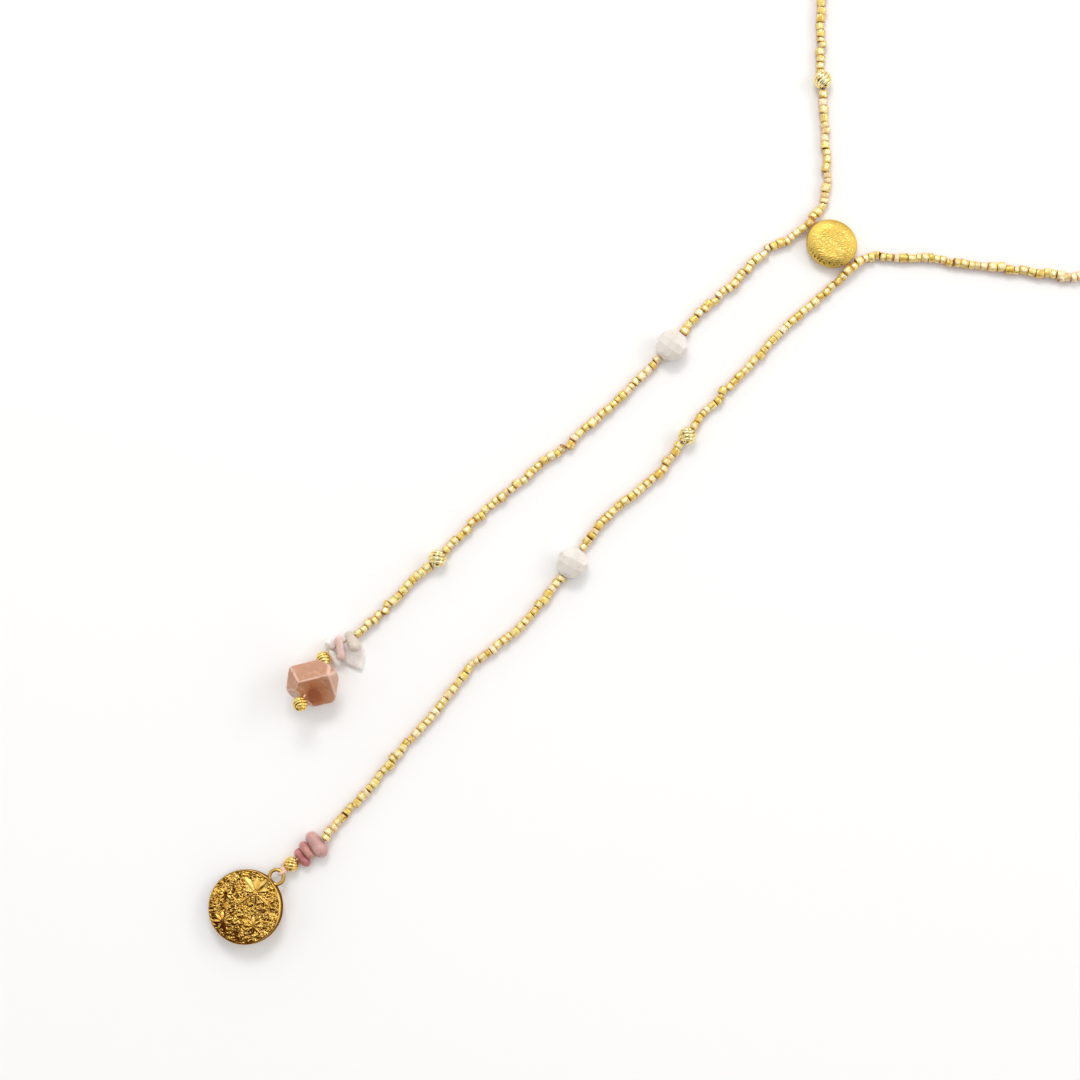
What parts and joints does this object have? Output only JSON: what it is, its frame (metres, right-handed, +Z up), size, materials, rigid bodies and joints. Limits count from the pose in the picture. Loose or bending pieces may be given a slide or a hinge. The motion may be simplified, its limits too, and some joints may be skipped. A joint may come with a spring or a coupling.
{
  "type": "lariat necklace",
  "caption": "Lariat necklace of gold-lined seed beads with a coin slider, pale quartz, stone chips, a faceted peach nugget and a star coin pendant",
  "frame": {"origin": "on the floor, under the middle of the necklace's bounding box", "axes": "laid out flat: +Y towards the back of the neck loop, -Y towards the two tails, +X to the side of the tail with the coin pendant, +Z up from the floor"},
  "size_m": [0.1836, 0.401, 0.0096],
  "materials": {
    "gold": "polished gold plate",
    "antique_gold": "antiqued gold plate, dark in the recesses",
    "seed_glass": "gold-lined champagne seed beads",
    "thread": "beige beading thread",
    "pale_quartz": "faceted milky quartz",
    "pale_stone": "tumbled, translucent cream stone",
    "rosy_stone": "tumbled, translucent rose stone",
    "peach_stone": "polished peach stone with pale veins"
  },
  "bodies": {
    "root": {"slider_coin": "gold", "slider_thread": "thread", "neck_string_left": "seed_glass", "neck_string_right": "seed_glass", "neck_gold_ball": "gold", "left_string": "seed_glass", "left_quartz": "pale_quartz", "left_gold_ball": "gold", "pale_chip_1": "pale_stone", "pale_chip_2": "pale_stone", "pale_chip_3": "rosy_stone", "pale_chip_4": "pale_stone", "pale_chip_5": "pale_stone", "nugget_gold_ball": "gold", "peach_nugget": "peach_stone", "end_gold_ball": "gold", "right_string": "seed_glass", "right_gold_ball": "gold", "right_quartz": "pale_quartz", "pink_chip_1": "rosy_stone", "pink_chip_2": "rosy_stone", "pink_chip_3": "rosy_stone", "pendant_gold_ball": "gold", "pendant_knot": "thread", "coin_pendant": "antique_gold"}
  },
  "joints": []
}
